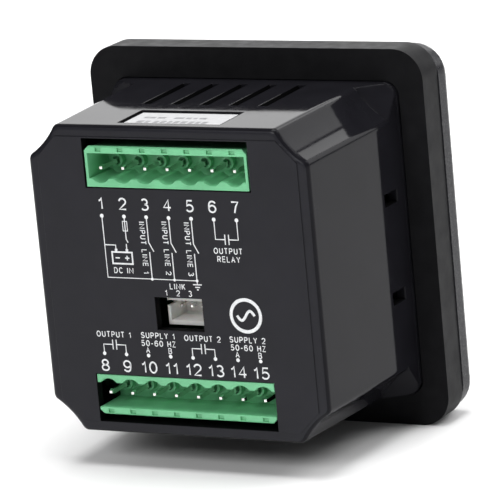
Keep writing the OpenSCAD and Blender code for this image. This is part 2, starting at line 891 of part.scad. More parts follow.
module relay(place) {
    stand = 0.4;
    translate([place[0], 0, place[1]]) {
        difference() {
            slab(power_front - relay_h, power_front - stand) round_rect(relay_w, relay_len, 0.8);
            slab(power_front - relay_h - 1, power_front - relay_h + 0.2) {
                round_rect(relay_w - 3, relay_len - 3, 0.5);
            }
        }
        for (c = corners) {
            bar(
                1.2, 1.2, power_front - stand - eps, power_front,
                c[0] * (relay_w / 2 - 1), c[1] * (relay_len / 2 - 1)
            );
        }
        for (p = relay_pins) rod(relay_pin_d, power_front - 1, power_back + 0.8, p[0], p[1]);
    }
}

// Upright can with a crimped groove near the board and a scored top
module capacitor(d, h, x, z, pitch) {
    r = d / 2;
    translate([x, power_front, z]) rotate([90, 0, 0]) difference() {
        rotate_extrude() polygon([
            [0, 0],
            [r - 0.5, 0],
            [r, 0.4],
            [r, 1.6],
            [r - 0.4, 2],
            [r - 0.4, 2.4],
            [r, 2.8],
            [r, h - 0.6],
            [r - 0.6, h],
            [0, h]
        ]);
        for (a = [45, 135]) rotate(a) translate([0, 0, h]) cube([d * 0.7, 0.3, 0.3], center = true);
    }
    leads(lead_pair(x, z, pitch), cap_lead_d);
}

module large_capacitor() {
    color("#2b3f78") capacitor(big_cap_d, big_cap_h, cap_x, big_cap_z, 5);
}

module small_capacitor() {
    color("#2b3f78") capacitor(small_cap_d, small_cap_h, cap_x, small_cap_z, 3.5);
}

module supply_choke() {
    r = choke_d / 2;
    color("#6b3f22") {
        translate([choke_x, power_front, choke_z]) rotate([90, 0, 0]) rotate_extrude() polygon([
            [0, 0],
            [r, 0],
            [r, 1],
            [r - 0.8, 1.3],
            [r - 0.8, choke_h - 1.3],
            [r, choke_h - 1],
            [r, choke_h],
            [0, choke_h]
        ]);
        leads(lead_pair(choke_x, choke_z, 5), cap_lead_d);
    }
}

module surge_disc() {
    middle = power_front - disc_d / 2 - 0.6;
    color("#3564a8") {
        translate([disc_x - disc_t / 2, middle, disc_z]) rotate([0, 90, 0]) cylinder(h = disc_t, d = disc_d);
        for (s = [-1, 1]) rod(cap_lead_d, middle, power_back + 0.8, disc_x, disc_z + s * 2.5);
    }
}

// Small moulded chip with leads bent out along X
module chip(w, len, h, pins, pitch) {
    slab(0.2, h) cut_rect(w, len, 0.4);
    for (s = [-1, 1]) for (z = row(pins, pitch, 0)) {
        translate([s * w / 2, 0.45, z]) cube([0.8, 0.9, 0.5], center = true);
    }
}

module optocouplers() {
    color("#303134") for (x = opto_xs) {
        translate([x, power_front, opto_z]) rotate([180, 90, 0]) chip(opto_len - 1.2, opto_w, opto_h, 2, 2.4);
    }
}

module supply_chip() {
    color("#232427") translate([cap_x, power_back, chip_z]) chip(6, 5, 1.7, 4, 1.27);
}

// Fasteners

module display_board_screws() {
    color("#b9bcc0") for (p = display_screws_at) {
        screw(screw_d, 3.8, 1.5, 6, display_back, p[0], p[1], 1);
    }
}

module power_board_screws() {
    color("#b9bcc0") for (p = power_screws_at) {
        screw(board_screw_d, 4.5, 1.7, 8, power_front, p[0], p[1], -1);
    }
}

module case_screws() {
    color("#b9bcc0") for (p = case_screws_at) {
        screw(screw_d, 3.6, 1.3, 3.8, -gasket_t, p[0], p[1], 1);
    }
}

rear_case();
rating_label();
panel_gasket();
front_bezel();
front_overlay();
display_lens();
digit_display();
display_board();
microcontroller();
link_socket();
link_header();
link_pins();
upper_header();
header_pins(upper_xs, upper_z);  // upper_header_pins
lower_header();
header_pins(lower_xs, lower_z);  // lower_header_pins
comm_socket();
comm_socket_pins();
power_board();
color("#1f4fa0") relay(relay_places[0]);  // start_relay
color("#1f4fa0") relay(relay_places[1]);  // mains_relay
color("#1f4fa0") relay(relay_places[2]);  // generator_relay
large_capacitor();
small_capacitor();
supply_choke();
surge_disc();
optocouplers();
supply_chip();
display_board_screws();
power_board_screws();
case_screws();
for (i = [1:lamp_n]) indicator_lamp(i - 1);
for (i = [1:4]) key_cap(i - 1);
for (i = [1:4]) switch_plunger(i - 1);
for (i = [1:4]) switch_body(i - 1);
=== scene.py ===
"""Looks of the transfer switch controller: finishes, print, soft edges, studio and camera."""

import json
import math

import bpy
from mathutils import Matrix, Quaternion, Vector

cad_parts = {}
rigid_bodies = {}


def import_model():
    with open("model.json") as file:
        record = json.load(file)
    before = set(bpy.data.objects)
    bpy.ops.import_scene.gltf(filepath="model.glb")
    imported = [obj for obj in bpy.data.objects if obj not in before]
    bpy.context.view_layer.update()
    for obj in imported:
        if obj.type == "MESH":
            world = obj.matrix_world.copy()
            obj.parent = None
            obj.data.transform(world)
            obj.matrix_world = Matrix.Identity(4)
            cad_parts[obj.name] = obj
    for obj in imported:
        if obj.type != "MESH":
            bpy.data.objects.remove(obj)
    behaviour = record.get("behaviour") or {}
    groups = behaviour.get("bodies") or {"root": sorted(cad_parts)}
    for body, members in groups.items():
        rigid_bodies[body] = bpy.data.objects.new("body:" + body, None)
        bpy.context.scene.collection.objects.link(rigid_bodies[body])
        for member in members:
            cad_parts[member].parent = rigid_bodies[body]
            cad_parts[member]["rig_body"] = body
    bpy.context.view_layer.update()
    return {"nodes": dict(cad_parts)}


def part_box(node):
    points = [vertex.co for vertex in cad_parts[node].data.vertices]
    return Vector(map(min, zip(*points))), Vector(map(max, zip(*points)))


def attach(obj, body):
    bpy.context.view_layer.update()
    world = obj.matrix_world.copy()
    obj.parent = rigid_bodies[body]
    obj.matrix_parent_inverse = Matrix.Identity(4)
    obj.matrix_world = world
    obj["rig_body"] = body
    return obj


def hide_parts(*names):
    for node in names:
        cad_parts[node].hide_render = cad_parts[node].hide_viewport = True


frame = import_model()

MM = 0.001
X, Y, Z = range(3)
ROOT_BODY = "controller"


def middle(box, axis):
    """The middle of a box along one axis."""
    low, high = box
    return (low[axis] + high[axis]) / 2


# Places on the object, read from the frame
BACK_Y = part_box("rear_case")[1][Y]
FACE_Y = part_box("front_bezel")[0][Y]
FLOOR_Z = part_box("panel_gasket")[0][Z]
DIGITS_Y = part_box("digit_display")[0][Y]
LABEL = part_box("rating_label")
FILM_LOW, FILM_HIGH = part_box("front_overlay")
WINDOW_Z = middle(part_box("display_lens"), Z)
LAMPS = [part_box(f"indicator_lamp_{i}") for i in range(1, 6)]
LAMP_XS = [middle(lamp, X) for lamp in LAMPS]
LAMP_Z = middle(LAMPS[0], Z)
KEYS = [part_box(f"key_cap_{i}") for i in range(1, 5)]
KEY_XS = [middle(key, X) for key in KEYS]
KEY_Z = middle(KEYS[0], Z)
KEY_Y = KEYS[0][0][Y]

# Modelling
MERGE_WITHIN = 0.001 * MM
FLAT_ANGLE = 0.4  # degrees; edges flatter than this are dissolved
CRISP_ANGLE = 32.0  # degrees; flatter edges are shaded smooth and sharper ones bevelled
CASE_CRISP_ANGLE = 36.0
FACING = 0.9  # a face looks along an axis when its unit normal has more than this of it
LABEL_T = 0.15 * MM  # thickness of the sticker

# Print
INK_DEPTH = 0.012 * MM
NUMBER_HEIGHT = 2.6 * MM
NUMBER_PEN = 0.37 * MM
WORD_HEIGHT = 1.3 * MM
WORD_PEN = 0.21 * MM
LINE_PEN = 0.24 * MM
SAME_POINT = 0.0001 * MM  # a path is closed when its ends are nearer than this
PRINT_PITCH = 5.12 * MM  # the print of a row is spaced a little wider than its contacts
UPPER_ROW_U = -0.36 * MM
LOWER_ROW_U = -0.42 * MM

# Textures
NOISE_LOW, NOISE_HIGH = 0.3, 0.7  # the noise values that give the ends of a range
CLOUD_SCALE = 160.0
SMEAR_SCALE = 420.0
SCRATCH_SCALE = 6000.0
SCRATCH_STRETCH = 0.08
FIBRE_DEPTH = 0.02 * MM


# Materials


def add_node(material, kind, **settings):
    """Adds a shader node; settings are attributes of the node, or values of its named inputs."""
    node = material.node_tree.nodes.new(kind)
    for name, value in settings.items():
        if hasattr(node, name):
            setattr(node, name, value)
        else:
            node.inputs[name.replace("_", " ")].default_value = value
    return node


def join(material, source, target):
    material.node_tree.links.new(source, target)


def plain_material(name, colour, roughness, **shader_inputs):
    """A Principled material, its shader and object coordinates; keywords set shader inputs."""
    material = bpy.data.materials.new(name)
    material.use_nodes = True
    shader = material.node_tree.nodes["Principled BSDF"]
    shader.inputs["Base Color"].default_value = (*colour, 1)
    shader.inputs["Roughness"].default_value = roughness
    for key, value in shader_inputs.items():
        shader.inputs[key.replace("_", " ")].default_value = value
    place = add_node(material, "ShaderNodeTexCoord").outputs["Object"]
    return material, shader, place


def noise(material, place, scale, detail=4.0, roughness=0.5):
    node = add_node(
        material, "ShaderNodeTexNoise", Scale=scale, Detail=detail, Roughness=roughness,
    )
    join(material, place, node.inputs["Vector"])
    return node.outputs["Fac"]


def ramp(material, value, *stops):
    """Maps a value to colours; each stop is a position and its colour."""
    node = add_node(material, "ShaderNodeValToRGB")
    for k, (position, colour) in enumerate(stops):
        node.color_ramp.elements[k].position = position
        node.color_ramp.elements[k].color = (*colour, 1)
    join(material, value, node.inputs["Fac"])
    return node.outputs["Color"]


def tint(material, shader, value, dark, light):
    """Varies the base colour between two colours, by a noise value."""
    colours = ramp(material, value, (NOISE_LOW, dark), (NOISE_HIGH, light))
    join(material, colours, shader.inputs["Base Color"])


def gloss(material, shader, value, low, high):
    """Varies the roughness between two values, by a noise value."""
    node = add_node(
        material, "ShaderNodeMapRange", clamp=True,
        From_Min=NOISE_LOW, From_Max=NOISE_HIGH, To_Min=low, To_Max=high,
    )
    join(material, value, node.inputs["Value"])
    join(material, node.outputs["Result"], shader.inputs["Roughness"])


def relief(material, shader, *layers, edge=0.0):
    """Bumps, each a height value and its depth in metres, over edges that look rounded.

    edge is the radius of that rounding in metres.
    """
    below = None
    if edge:
        below = add_node(material, "ShaderNodeBevel", samples=6, Radius=edge).outputs["Normal"]
    for height, depth in layers:
        bump = add_node(material, "ShaderNodeBump", Strength=1.0, Distance=depth)
        join(material, height, bump.inputs["Height"])
        if below:
            join(material, below, bump.inputs["Normal"])
        below = bump.outputs["Normal"]
    join(material, below, shader.inputs["Normal"])


def scaled(colour, factor, lift=0.0):
    """A colour made lighter or darker."""
    return tuple(min(1.0, c * factor + lift) for c in colour)


def moulded(
    name, colour, roughness, grain, grain_depth, wave=None, uneven=0.06, edge=0.0, **shader_inputs
):
    """Moulded plastic: a fine grain, and slightly uneven colour and gloss.

    wave is the depth and the scale of slow sink marks, uneven how far the roughness strays, and
    edge the radius that edges seem to have.
    """
    material, shader, place = plain_material(name, colour, roughness, **shader_inputs)
    dark, light = scaled(colour, 0.9), scaled(colour, 1.12, 0.0004)
    tint(material, shader, noise(material, place, CLOUD_SCALE), dark, light)
    smear = noise(material, place, SMEAR_SCALE, detail=6.0)
    gloss(material, shader, smear, roughness - uneven, roughness + uneven)
    layers = [(noise(material, place, grain, detail=3.0), grain_depth)]
    if wave:
        depth, scale = wave
        layers.append((noise(material, place, scale, detail=0.0), depth))
    relief(material, shader, *layers, edge=edge)
    return material


def speckled(name, colour, fleck, roughness, grain, grain_depth, **shader_inputs):
    """Dark plastic with a coarse spark texture and faint pale flecks."""
    material, shader, place = plain_material(name, colour, roughness, **shader_inputs)
    cells = add_node(material, "ShaderNodeTexVoronoi", Scale=grain * 0.6)
    join(material, place, cells.inputs["Vector"])
    flecks = ramp(material, cells.outputs["Distance"], (0.12, fleck), (0.42, colour))
    join(material, flecks, shader.inputs["Base Color"])
    gloss(material, shader, noise(material, place, 900.0), roughness - 0.08, roughness + 0.08)
    sparks = noise(material, place, grain, detail=5.0, roughness=0.7)
    relief(material, shader, (sparks, grain_depth))
    return material


def metal(name, colour, roughness, scratch_depth):
    """Plated metal with fine drawing marks along Y and slightly dull patches."""
    material, shader, place = plain_material(name, colour, roughness, Metallic=1.0)
    stretch = add_node(material, "ShaderNodeMapping", Scale=(1.0, SCRATCH_STRETCH, 1.0))
    join(material, place, stretch.inputs["Vector"])
    lines = noise(material, stretch.outputs["Vector"], SCRATCH_SCALE, detail=3.0)
    dull = noise(material, place, 700.0)
    gloss(material, shader, dull, roughness * 0.7, roughness * 1.4)
    tint(material, shader, dull, scaled(colour, 0.86), colour)
    relief(material, shader, (lines, scratch_depth))
    return material


def fibrous(name, colour, shade, roughness, scale, **shader_inputs):
    """Paper, ink or foam: soft mottling and a fine fibrous relief."""
    material, shader, place = plain_material(name, colour, roughness, **shader_inputs)
    tint(material, shader, noise(material, place, scale * 0.3), shade, colour)
    patches = noise(material, place, scale * 0.5)
    gloss(material, shader, patches, roughness - 0.06, roughness + 0.05)
    fibres = noise(material, place, scale, detail=6.0, roughness=0.65)
    relief(material, shader, (fibres, FIBRE_DEPTH))
    return material


def board_finish(name):
    """Green solder mask over faint copper tracks."""
    material, shader, place = plain_material(name, (0.006, 0.034, 0.013), 0.3, Coat_Weight=0.2)
    turned = add_node(material, "ShaderNodeMapping", Rotation=(math.radians(90), 0, 0))
    join(material, place, turned.inputs["Vector"])
    tracks = add_node(
        material, "ShaderNodeTexBrick", Scale=260.0, Mortar_Size=0.03, offset=0.5,
        Color1=(0.005, 0.032, 0.012, 1), Color2=(0.006, 0.038, 0.014, 1),
        Mortar=(0.014, 0.070, 0.026, 1),
    )
    join(material, turned.outputs["Vector"], tracks.inputs["Vector"])
    join(material, tracks.outputs["Color"], shader.inputs["Base Color"])
    gloss(material, shader, noise(material, place, 500.0), 0.24, 0.38)
    relief(material, shader, (tracks.outputs["Fac"], 0.03 * MM))
    return material


def lamp_finish(name, colour):
    """Tinted, slightly cloudy lamp resin."""
    material, shader, place = plain_material(
        name, colour, 0.18,
        Subsurface_Weight=0.35, Subsurface_Radius=(0.002, 0.001, 0.001), Coat_Weight=0.4,
    )
    tint(material, shader, noise(material, place, 900.0), scaled(colour, 0.8), colour)
    relief(material, shader, (noise(material, place, 2400.0), 0.004 * MM))
    return material


def window_finish(name):
    """Dark red-brown tinted window, clear enough to show the digits behind it."""
    material, shader, place = plain_material(
        name, (0.30, 0.045, 0.05), 0.06, Transmission_Weight=0.97, IOR=1.49,
    )
    gloss(material, shader, noise(material, place, 300.0), 0.04, 0.09)
    relief(material, shader, (noise(material, place, 60.0, detail=1.0), 0.01 * MM))
    return material


# Finishes
# After the name and the colours, a moulded one has its roughness, the scale and depth of its
# grain and its wave; a speckled one its roughness and grain; a metal its roughness and the depth
# of its marks; a fibrous one its roughness and scale.

# Outside
case_gloss = moulded(
    "case_gloss_black", (0.0085, 0.0083, 0.0105), 0.06, 2600.0, 0.0008 * MM, (0.03 * MM, 80.0),
    uneven=0.02, edge=0.5 * MM, Specular_IOR_Level=0.075,
)
case_satin = moulded(
    "case_satin_black", (0.0030, 0.0029, 0.0068), 0.38, 5200.0, 0.004 * MM,
    uneven=0.05, edge=0.2 * MM, Specular_IOR_Level=0.29,
)
# Inside and in the openings: unpolished matt plastic whose colour is darker than the walls as
# painted shade, so that slots and openings look deep and black
case_inside = moulded(
    "case_inside_matt_painted_shade", (0.0022, 0.0022, 0.0026), 0.7, 1800.0, 0.01 * MM,
    Specular_IOR_Level=0.08,
)
gasket_rubber = fibrous(
    "gasket_rubber", (0.0070, 0.0070, 0.0080), (0.0044, 0.0044, 0.0052), 0.75, 900.0,
    Specular_IOR_Level=0.12,
)
# The rim: partly the open cells of the die cut, partly painted light, its colour lighter than the
# faces to stand for the light that its strips catch
gasket_cut_and_painted_light = fibrous(
    "gasket_cut_edge_painted_light", (0.011, 0.011, 0.012), (0.007, 0.007, 0.008), 0.48, 700.0,
    Specular_IOR_Level=0.09,
)
bezel_texture = speckled(
    "bezel_spark_texture", (0.014, 0.014, 0.017), (0.04, 0.04, 0.043), 0.3, 2200.0, 0.018 * MM,
    Specular_IOR_Level=0.13,
)
green_housing = moulded(
    "green_housing", (0.15, 0.48, 0.245), 0.36, 3200.0, 0.004 * MM, (0.03 * MM, 38.0),
    edge=0.15 * MM,
)
white_nylon = moulded(
    "white_nylon", (0.88, 0.87, 0.84), 0.4, 3000.0, 0.004 * MM,
    edge=0.12 * MM, Subsurface_Weight=0.1, Subsurface_Scale=0.0015,
)
tinned = metal("tin_plate", (0.86, 0.86, 0.83), 0.14, 0.0006 * MM)
sticker = fibrous("sticker_paper", (0.47, 0.47, 0.48), (0.41, 0.41, 0.42), 0.5, 2600.0)

# Ink
sticker_ink = fibrous("sticker_grey_ink", (0.16, 0.16, 0.17), (0.30, 0.30, 0.31), 0.5, 5200.0)
white_ink = fibrous("white_screen_ink", (0.86, 0.87, 0.88), (0.72, 0.73, 0.75), 0.5, 5200.0)

# Face
film_print = moulded(
    "film_dark_grey", (0.035, 0.042, 0.055), 0.42, 7000.0, 0.004 * MM, uneven=0.04,
)
key_finish = moulded("key_grey", (0.085, 0.095, 0.11), 0.5, 4200.0, 0.006 * MM)
dark_window = window_finish("dark_window_tint")
digit_grey = moulded("digit_housing", (0.030, 0.030, 0.033), 0.5, 3600.0, 0.006 * MM)
segment_milk = moulded("unlit_segment", (0.62, 0.56, 0.55), 0.5, 3600.0, 0.004 * MM)
red_lamp = lamp_finish("red_lamp_resin", (0.55, 0.03, 0.02))
green_lamp = lamp_finish("green_lamp_resin", (0.05, 0.42, 0.10))
amber_lamp = lamp_finish("amber_lamp_resin", (0.72, 0.34, 0.03))

# Inside
board_green = board_finish("board_solder_mask")
black_resin = moulded("black_resin", (0.014, 0.014, 0.015), 0.5, 3600.0, 0.012 * MM)
chip_resin = moulded("chip_resin", (0.020, 0.020, 0.021), 0.6, 5200.0, 0.02 * MM)
plunger_resin = moulded("plunger_resin", (0.62, 0.60, 0.52), 0.42, 3600.0, 0.006 * MM)
relay_blue = moulded(
    "relay_blue", (0.012, 0.055, 0.26), 0.26, 3000.0, 0.006 * MM, (0.03 * MM, 38.0),
)
sleeve_blue = moulded("capacitor_sleeve", (0.014, 0.022, 0.085), 0.24, 1600.0, 0.008 * MM)
disc_blue = moulded("disc_coating", (0.030, 0.110, 0.340), 0.3, 900.0, 0.03 * MM)
gilt = metal("gold_plate", (0.85, 0.62, 0.25), 0.25, 0.001 * MM)
zinc = metal("zinc_plate", (0.66, 0.67, 0.70), 0.32, 0.002 * MM)
winding = metal("varnished_winding", (0.42, 0.20, 0.09), 0.34, 0.03 * MM)


# Modelling helpers


def deselect_all():
    if bpy.context.mode != "OBJECT":
        bpy.ops.object.mode_set(mode="OBJECT")
    bpy.ops.object.select_all(action="DESELECT")


def take(piece):
    """Makes one object the selected and active one."""
    deselect_all()
    piece.select_set(True)
    bpy.context.view_layer.objects.active = piece


def settle(piece):
    """Puts an object's place into its mesh."""
    take(piece)
    bpy.ops.object.transform_apply(location=True, rotation=True, scale=True)


def apply_modifier(piece, kind, **settings):
    take(piece)
    modifier = piece.modifiers.new(kind.lower(), kind)
    for name, value in settings.items():
        setattr(modifier, name, value)
    bpy.ops.object.modifier_apply(modifier=modifier.name)


def dress(piece, material, body=ROOT_BODY):
    """Gives a piece its finish and the body that it rides on."""
    piece.data.materials.clear()
    piece.data.materials.append(material)
    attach(piece, body)


def soften(piece, width, crisp):
    """Smooths the curved faces of a piece and bevels its edges from an angle in radians on."""
    take(piece)
    bpy.ops.object.shade_smooth_by_angle(angle=crisp)
    if width:
        apply_modifier(
            piece, "BEVEL", width=width, segments=2, limit_method="ANGLE",
            angle_limit=crisp, harden_normals=True, use_clamp_overlap=True,
        )


def refined(node, material, width, crisp_angle=CRISP_ANGLE):
    """A merged copy of a CAD node with softened edges and smooth curves, which stands for it."""
    source = frame["nodes"][node]
    piece = bpy.data.objects.new(f"{node}_finished", source.data.copy())
    bpy.context.scene.collection.objects.link(piece)
    take(piece)
    bpy.ops.object.mode_set(mode="EDIT")
    bpy.ops.mesh.select_all(action="SELECT")
    bpy.ops.mesh.remove_doubles(threshold=MERGE_WITHIN)
    bpy.ops.mesh.dissolve_limited(angle_limit=math.radians(FLAT_ANGLE))
    bpy.ops.object.mode_set(mode="OBJECT")
    soften(piece, width, math.radians(crisp_angle))
    dress(piece, material, source["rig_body"])
    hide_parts(node)
    return piece


def paint(piece, material, chosen):
    """Gives a further finish to the faces whose middle and normal pass a test."""
    piece.data.materials.append(material)
    index = len(piece.data.materials) - 1
    for face in piece.data.polygons:
        if chosen(face.center, face.normal):
            face.material_index = index


# Pieces


def rear_case():
    """Glossy walls, satin field and border on the back, matt inside and in the openings, with
    painted shade there.
    """
    case = refined("rear_case", case_gloss, 0.1 * MM, CASE_CRISP_ANGLE)
    apply_modifier(case, "WEIGHTED_NORMAL", mode="FACE_AREA", weight=50, keep_sharp=True)
    border_y = BACK_Y - 1.5 * MM
    behind_field_y = BACK_Y - 0.6 * MM
    inner = 28.5 * MM

    def on_back(place, normal):
        return normal.y > FACING and place.y > border_y

    def inside(place, normal):
        inward = place.x * normal.x + place.z * normal.z < 0 and abs(normal.y) < FACING
        across_x = abs(normal.x) > FACING and abs(place.x) < inner
        across_z = abs(normal.z) > FACING and abs(place.z) < inner
        return place.y < behind_field_y and (inward or across_x or across_z)

    paint(case, case_satin, on_back)
    # the inside faces and the walls of the openings get the darker matt finish: painted shade in
    # the recesses
    paint(case, case_inside, inside)


def panel_gasket():
    """Foam gasket: closed skin on its faces, a lighter finish on its die-cut rim, partly its open
    cells and partly painted light.
    """
    gasket = refined("panel_gasket", gasket_rubber, 0.0)
    # the rim faces get the lighter finish: partly open cells, partly painted light
    paint(gasket, gasket_cut_and_painted_light, lambda place, normal: abs(normal.y) < 0.5)


def paint_segments(housing):
    """Makes the bottoms of the recesses in the digit housing pale, unlit segments."""
    recess_y = DIGITS_Y + 0.1 * MM
    paint(
        housing, segment_milk,
        lambda place, normal: normal.y < -FACING and place.y > recess_y,
    )


# The other nodes: finish, and width of the bevel on the crisp edges in millimetres
FINISHES = {
    "front_bezel": (bezel_texture, 0.25),
    "rating_label": (sticker, 0.03),
    "front_overlay": (film_print, 0.05),
    "display_lens": (dark_window, 0.15),
    "digit_display": (digit_grey, 0.06),
    "upper_header": (green_housing, 0.14),
    "upper_header_pins": (tinned, 0.08),
    "lower_header": (green_housing, 0.14),
    "lower_header_pins": (tinned, 0.08),
    "comm_socket": (white_nylon, 0.1),
    "comm_socket_pins": (tinned, 0.05),
    "display_board": (board_green, 0.05),
    "power_board": (board_green, 0.05),
    "microcontroller": (chip_resin, 0.02),
    "link_socket": (black_resin, 0.08),
    "link_header": (black_resin, 0.08),
    "link_pins": (gilt, 0.05),
    "start_relay": (relay_blue, 0.2),
    "mains_relay": (relay_blue, 0.2),
    "generator_relay": (relay_blue, 0.2),
    "large_capacitor": (sleeve_blue, 0.07),
    "small_capacitor": (sleeve_blue, 0.07),
    "supply_choke": (winding, 0.1),
    "surge_disc": (disc_blue, 0.5),
    "optocouplers": (chip_resin, 0.06),
    "supply_chip": (chip_resin, 0.05),
    "display_board_screws": (zinc, 0.06),
    "power_board_screws": (zinc, 0.06),
    "case_screws": (zinc, 0.06),
    "indicator_lamp_1": (red_lamp, 0.06),
    "indicator_lamp_2": (green_lamp, 0.06),
    "indicator_lamp_3": (green_lamp, 0.06),
    "indicator_lamp_4": (red_lamp, 0.06),
    "indicator_lamp_5": (amber_lamp, 0.06),
}
for i in range(1, len(KEYS) + 1):
    FINISHES[f"key_cap_{i}"] = (key_finish, 0.1)
    FINISHES[f"switch_plunger_{i}"] = (plunger_resin, 0.1)
    FINISHES[f"switch_body_{i}"] = (black_resin, 0.1)

rear_case()
panel_gasket()
for node, (material, width) in FINISHES.items():
    piece = refined(node, material, width * MM)
    if node == "digit_display":
        paint_segments(piece)


# Ink
# It is drawn flat in X and Y, in metres, and then stood on its wall.


def arc(x, y, rx, ry, start, end, steps=8):
    """Points of an arc between two angles in degrees."""
    turns = [math.radians(start + (end - start) * k / steps) for k in range(steps + 1)]
    return [(x + rx * math.cos(a), y + ry * math.sin(a)) for a in turns]


def ring(x, y, radius, steps=28):
    return arc(x, y, radius, radius, 0, 360, steps)


def round_frame(width, height, radius, x=0.0, y=0.0):
    """A closed line round a rectangle with round corners."""
    path = []
    for side_x, side_y, start in ((1, 1, 0), (-1, 1, 90), (-1, -1, 180), (1, -1, 270)):
        corner_x = x + side_x * (width / 2 - radius)
        corner_y = y + side_y * (height / 2 - radius)
        path += arc(corner_x, corner_y, radius, radius, start, start + 90, steps=5)
    return path + [path[0]]


def mm(*points):
    return [(u * MM, v * MM) for u, v in points]


def strokes(paths, width):
    """Low ribbons of ink with square ends along each path; a path that returns is closed."""
    data = bpy.data.curves.new("ink", "CURVE")
    data.dimensions = "3D"
    data.bevel_depth = width / 2
    data.bevel_resolution = 1
    data.use_fill_caps = True
    for path in paths:
        closed = math.dist(path[0], path[-1]) < SAME_POINT
        points = path[:-1] if closed else path
        spline = data.splines.new("POLY")
        spline.points.add(len(points) - 1)
        for point, (u, v) in zip(spline.points, points):
            point.co = (u, v, 0, 1)
        spline.use_cyclic_u = closed
    lines = bpy.data.objects.new("ink", data)
    bpy.context.scene.collection.objects.link(lines)
    take(lines)
    bpy.ops.object.convert(target="MESH")
    lines = bpy.context.object
    lines.scale.z = INK_DEPTH / width
    settle(lines)
    return lines


def dot(u, v, radius):
    bpy.ops.mesh.primitive_cylinder_add(
        vertices=20, radius=radius, depth=INK_DEPTH, location=(u, v, 0),
    )
    spot = bpy.context.object
    apply_modifier(spot, "BEVEL", width=INK_DEPTH / 4, segments=1)
    settle(spot)
    return spot


def join_pieces(name, parts):
    """Makes one named piece of several, which starts with the first of them."""
    deselect_all()
    for part in parts:
        part.select_set(True)
    bpy.context.view_layer.objects.active = parts[0]
    bpy.ops.object.join()
    parts[0].name = name
    return parts[0]


def on_wall(piece, y, facing_back):
    """Stands flat ink on a wall at depth y, to be read from behind or from the front."""
    turn = Matrix.Rotation(math.pi, 4, "Z") if facing_back else Matrix.Identity(4)
    upright = Matrix.Rotation(math.pi / 2, 4, "X")
    piece.matrix_world = Matrix.Translation((0, y, 0)) @ turn @ upright
    settle(piece)


# Lettering

SIX = [
    arc(0.31, 0.31, 0.31, 0.31, 0, 360, 14),
    [(0.0, 0.31), (0.02, 0.6)] + arc(0.33, 0.68, 0.3, 0.32, 165, 25, 6),
]

# Pen strokes of each character, one unit high
CHARACTERS = {
    "0": [arc(0.31, 0.5, 0.31, 0.5, 0, 360, 16)],
    "1": [[(0.02, 0.74), (0.17, 0.8), (0.29, 1.0), (0.29, 0.0)]],
    "2": [arc(0.31, 0.7, 0.3, 0.3, 170, -35, 9) + [(0.0, 0.0), (0.62, 0.0)]],
    "3": [arc(0.29, 0.75, 0.26, 0.25, 150, -90), arc(0.29, 0.26, 0.31, 0.26, 90, -150)],
    "4": [[(0.46, 0.0), (0.46, 1.0), (0.0, 0.3), (0.65, 0.3)]],
    "5": [[(0.56, 1.0), (0.12, 1.0), (0.05, 0.5)] + arc(0.29, 0.31, 0.32, 0.31, 130, -150, 9)],
    "6": SIX,
    "7": [[(0.0, 1.0), (0.6, 1.0), (0.38, 0.6), (0.24, 0.0)]],
    "8": [arc(0.31, 0.76, 0.26, 0.24, 0, 360, 14), arc(0.31, 0.26, 0.31, 0.26, 0, 360, 14)],
    "9": [[(0.62 - x, 1.0 - y) for x, y in path] for path in SIX],
    "A": [[(0.0, 0.0), (0.33, 1.0), (0.66, 0.0)], [(0.12, 0.36), (0.54, 0.36)]],
    "B": [
        [(0.0, 0.53), (0.0, 1.0)] + arc(0.32, 0.765, 0.24, 0.235, 90, -90, 6) + [(0.0, 0.53)],
        [(0.0, 0.53), (0.32, 0.53)] + arc(0.34, 0.265, 0.26, 0.265, 90, -90, 6)
        + [(0.0, 0.0), (0.0, 0.53)],
    ],
    "C": [arc(0.36, 0.5, 0.36, 0.5, 42, 318, 10)],
    "D": [[(0.0, 0.0), (0.0, 1.0)] + arc(0.25, 0.5, 0.37, 0.5, 90, -90) + [(0.0, 0.0)]],
    "E": [[(0.54, 0.0), (0.0, 0.0), (0.0, 1.0), (0.54, 1.0)], [(0.0, 0.52), (0.5, 0.52)]],
    "H": [[(0.0, 0.0), (0.0, 1.0)], [(0.6, 0.0), (0.6, 1.0)], [(0.0, 0.52), (0.6, 0.52)]],
    "I": [[(0.05, 0.0), (0.05, 1.0)]],
    "K": [[(0.0, 0.0), (0.0, 1.0)], [(0.58, 1.0), (0.0, 0.38)], [(0.2, 0.58), (0.6, 0.0)]],
    "L": [[(0.0, 1.0), (0.0, 0.0), (0.5, 0.0)]],
    "N": [[(0.0, 0.0), (0.0, 1.0), (0.74, 0.0), (0.74, 1.0)]],
    "O": [arc(0.37, 0.5, 0.37, 0.5, 0, 360, 16)],
    "P": [[(0.0, 0.0), (0.0, 1.0)] + arc(0.33, 0.73, 0.25, 0.27, 90, -90, 6) + [(0.0, 0.46)]],
    "R": [
        [(0.0, 0.0), (0.0, 1.0)] + arc(0.33, 0.74, 0.25, 0.26, 90, -90, 6) + [(0.0, 0.48)],
        [(0.3, 0.48), (0.6, 0.0)],
    ],
    "S": [arc(0.3, 0.75, 0.28, 0.25, 25, 270) + arc(0.3, 0.26, 0.31, 0.26, 85, -155)],
    "T": [[(0.0, 1.0), (0.6, 1.0)], [(0.3, 1.0), (0.3, 0.0)]],
    "U": [[(0.0, 1.0)] + arc(0.3, 0.3, 0.3, 0.3, 180, 360) + [(0.6, 1.0)]],
    "Y": [[(0.0, 1.0), (0.32, 0.45), (0.64, 1.0)], [(0.32, 0.45), (0.32, 0.0)]],
    "Z": [[(0.0, 1.0), (0.58, 1.0), (0.0, 0.0), (0.58, 0.0)]],
    "-": [[(0.0, 0.42), (0.34, 0.42)]],
    " ": [],
}
SPACE_WIDTH = 0.25
CHARACTER_WIDTH = {
    sign: max((x for path in paths for x, _ in path), default=SPACE_WIDTH)
    for sign, paths in CHARACTERS.items()
}


